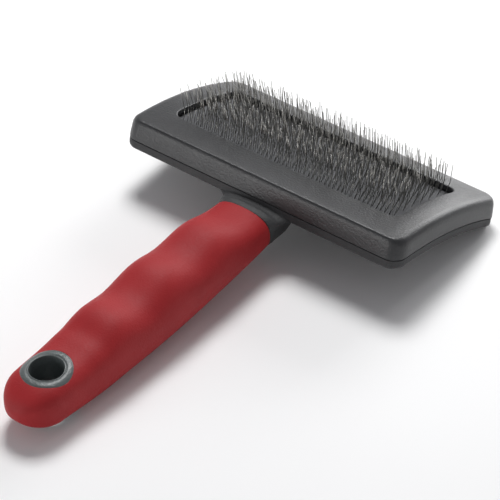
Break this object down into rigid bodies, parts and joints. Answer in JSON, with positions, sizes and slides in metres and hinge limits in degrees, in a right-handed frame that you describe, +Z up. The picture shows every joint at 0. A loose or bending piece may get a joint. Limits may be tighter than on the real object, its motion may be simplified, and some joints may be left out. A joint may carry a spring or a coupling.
{
  "type": "slicker brush",
  "caption": "Pet slicker brush: arched rectangular head with a recessed pad of fine bent wire pins, on a soft waved grip with a hang hole.",
  "frame": {"origin": "centre of the footprint, on the surface that the brush lies on", "axes": "+Y from the hang hole towards the head, +Z up on the pin side, +X across the handle along the head"},
  "size_m": [0.131, 0.2036, 0.0394],
  "materials": {
    "shell_plastic": "fine satin grain, charcoal grey",
    "grip_rubber": "matt soft-touch rubber, dark red",
    "pad_rubber": "matt grey rubber facing",
    "pad_cloth": "plain woven cloth ply",
    "pad_foam": "open foam cushion",
    "pin_steel": "drawn wire, dull"
  },
  "bodies": {
    "root": {"bezel_frame": "shell_plastic", "back_shell_and_core": "shell_plastic", "grip_sleeve": "grip_rubber", "pad_facing": "pad_rubber", "pad_cloth": "pad_cloth", "pad_cushion": "pad_foam", "pin_row_01": "pin_steel", "pin_row_02": "pin_steel", "pin_row_03": "pin_steel", "pin_row_04": "pin_steel", "pin_row_05": "pin_steel", "pin_row_06": "pin_steel", "pin_row_07": "pin_steel", "pin_row_08": "pin_steel", "pin_row_09": "pin_steel", "pin_row_10": "pin_steel", "pin_row_11": "pin_steel", "pin_row_12": "pin_steel", "pin_row_13": "pin_steel", "pin_row_14": "pin_steel"}
  },
  "joints": []
}
